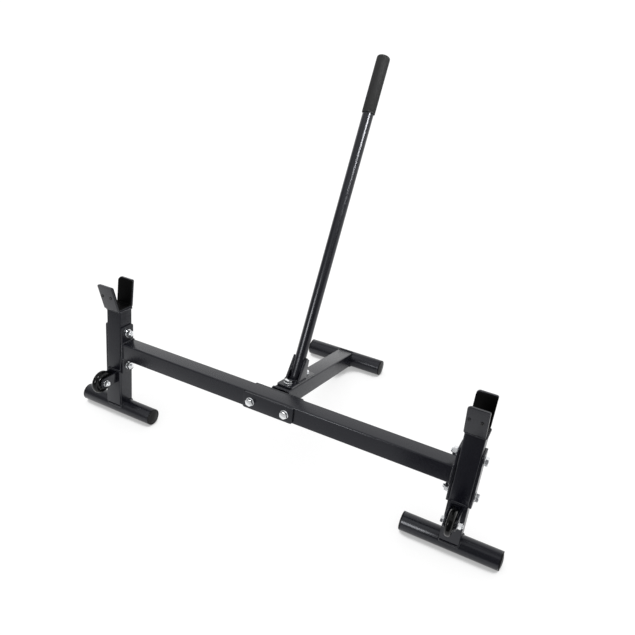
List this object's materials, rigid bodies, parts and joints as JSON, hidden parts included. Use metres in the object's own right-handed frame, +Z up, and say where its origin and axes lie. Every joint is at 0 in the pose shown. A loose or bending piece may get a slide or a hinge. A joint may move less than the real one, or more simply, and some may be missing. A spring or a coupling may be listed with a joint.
{
  "type": "deadlift jack",
  "caption": "Floor jack for a loaded barbell: leaning uprights with lined bar cradles and transport wheels, joined by a crossbeam, and a rear leg with a long lever handle.",
  "frame": {"origin": "on the floor, under the middle of the jack's box as it stands in use", "axes": "+Z up, +X to the right along the crossbeam, +Y to the rear, from the wheels towards the rear bar"},
  "size_m": [1.1406, 0.699, 0.8243],
  "materials": {
    "powder_coat": "satin black powder coat with a fine grain",
    "zinc": "bright zinc plate",
    "plug_plastic": "satin black polyethylene",
    "liner_plastic": "matte black high-density plastic",
    "wheel_rubber": "glossy black rubber",
    "hub_plastic": "semi-gloss black nylon",
    "grip_rubber": "matte black soft grip",
    "black_screw": "black oxide"
  },
  "bodies": {
    "frame": {"crossbeam": "powder_coat", "crossbeam_end_plate_left": "powder_coat", "crossbeam_end_plate_right": "powder_coat", "upright_left": "powder_coat", "upright_right": "powder_coat", "backing_plate_left": "powder_coat", "backing_plate_right": "powder_coat", "foot_left_tube": "powder_coat", "foot_left_plug_left": "plug_plastic", "foot_left_plug_right": "plug_plastic", "foot_right_tube": "powder_coat", "foot_right_plug_left": "plug_plastic", "foot_right_plug_right": "plug_plastic", "cradle_left": "powder_coat", "cradle_right": "powder_coat", "cradle_liner_left": "liner_plastic", "cradle_liner_right": "liner_plastic", "liner_screw_left_left": "black_screw", "liner_screw_left_right": "black_screw", "liner_screw_right_left": "black_screw", "liner_screw_right_right": "black_screw", "wheel_bracket_left": "powder_coat", "wheel_bracket_right": "powder_coat", "axle_sleeve_left": "zinc", "axle_sleeve_right": "zinc", "axle_left_bolt": "zinc", "axle_left_nut": "zinc", "axle_right_bolt": "zinc", "axle_right_nut": "zinc", "upright_lower_left_bolt": "zinc", "upright_lower_left_nut": "zinc", "upright_upper_left_bolt": "zinc", "upright_upper_left_nut": "zinc", "upright_lower_right_bolt": "zinc", "upright_lower_right_nut": "zinc", "upright_upper_right_bolt": "zinc", "upright_upper_right_nut": "zinc", "centre_front_plate": "powder_coat", "leg_end_plate": "powder_coat", "centre_left_bolt": "zinc", "centre_left_nut": "zinc", "centre_right_bolt": "zinc", "centre_right_nut": "zinc", "rear_leg": "powder_coat", "rear_bar_tube": "powder_coat", "rear_bar_plug_left": "plug_plastic", "rear_bar_plug_right": "plug_plastic", "lever_base_plate": "powder_coat", "lever_front_bolt": "zinc", "lever_front_nut": "zinc", "lever_rear_bolt": "zinc", "lever_rear_nut": "zinc", "lever_gusset_left": "powder_coat", "lever_gusset_right": "powder_coat", "lever_tube": "powder_coat", "lever_grip": "grip_rubber"},
    "wheel_left": {"wheel_tyre_left": "wheel_rubber", "wheel_hub_left": "hub_plastic"},
    "wheel_right": {"wheel_tyre_right": "wheel_rubber", "wheel_hub_right": "hub_plastic"}
  },
  "joints": [
    {"name": "wheel_spin_left", "type": "hinge", "parent": "frame", "child": "wheel_left", "pos_m": [-0.4565, -0.32053, 0.13297], "axis": [1, 0, 0], "continuous": true},
    {"name": "wheel_spin_right", "type": "hinge", "parent": "frame", "child": "wheel_right", "pos_m": [0.4565, -0.32053, 0.13297], "axis": [1, 0, 0], "continuous": true}
  ]
}
